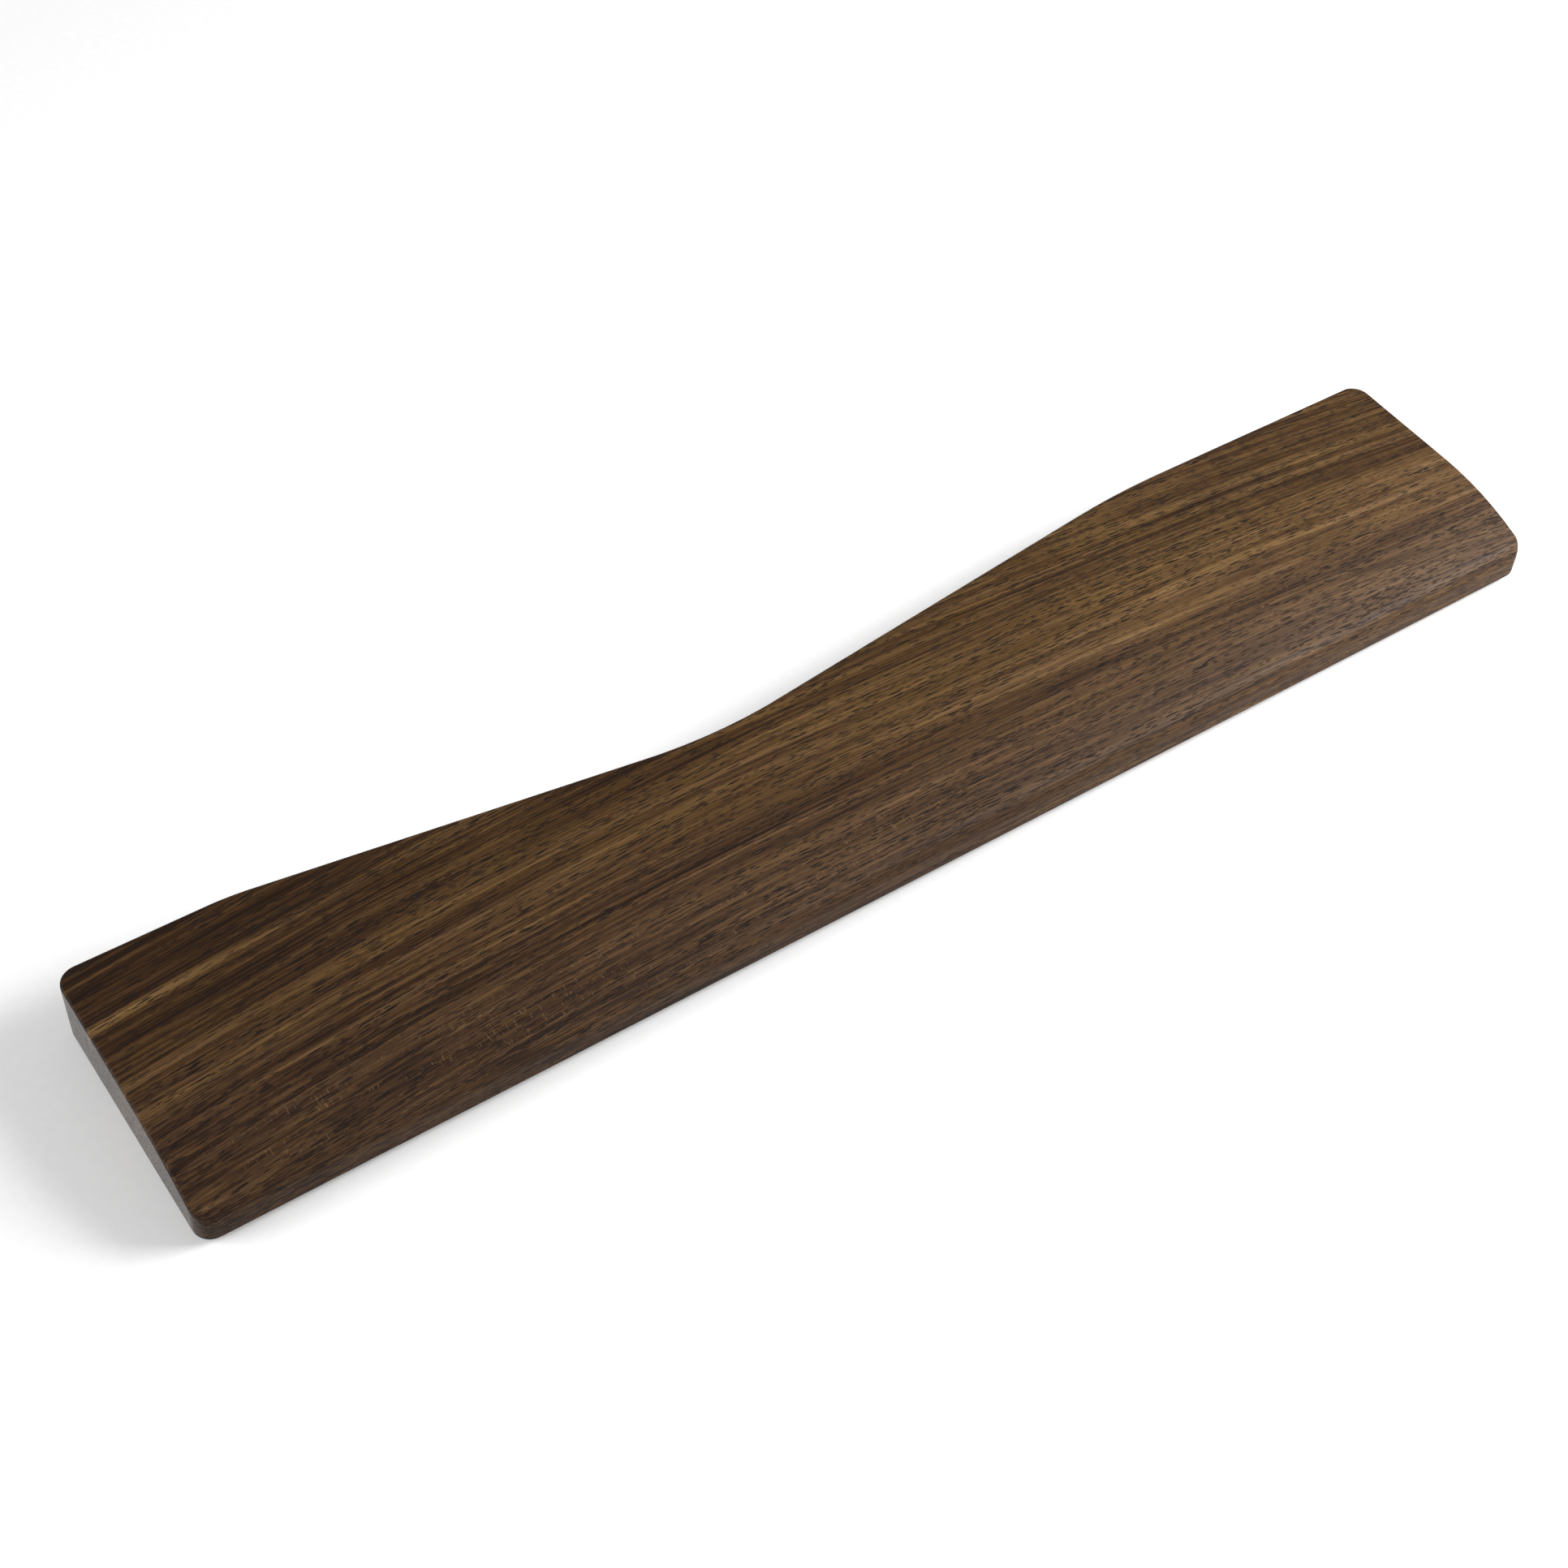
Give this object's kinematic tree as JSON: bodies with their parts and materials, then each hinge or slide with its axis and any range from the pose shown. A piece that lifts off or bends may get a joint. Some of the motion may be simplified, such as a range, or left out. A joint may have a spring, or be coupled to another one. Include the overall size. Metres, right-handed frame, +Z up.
{
  "type": "wrist rest",
  "caption": "Solid walnut keyboard wrist rest with a flat top rolling down to a low front edge, a lopsided hollow in the back edge, and small silicone feet underneath.",
  "frame": {"origin": "on the desk, under the middle of the rest's bounding box", "axes": "+X along the rest to the user's right, +Y from the user towards the keyboard, +Z up"},
  "size_m": [0.4, 0.071, 0.0195],
  "materials": {
    "walnut": "satin lacquer",
    "silicone": "matte",
    "tape": "adhesive film"
  },
  "bodies": {
    "root": {"walnut_rest": "walnut", "foot_front_left": "silicone", "foot_front_middle": "silicone", "foot_front_right": "silicone", "foot_back_left": "silicone", "foot_back_middle": "silicone", "foot_back_right": "silicone", "tape_front_left": "tape", "tape_front_middle": "tape", "tape_front_right": "tape", "tape_back_left": "tape", "tape_back_middle": "tape", "tape_back_right": "tape"}
  },
  "joints": []
}
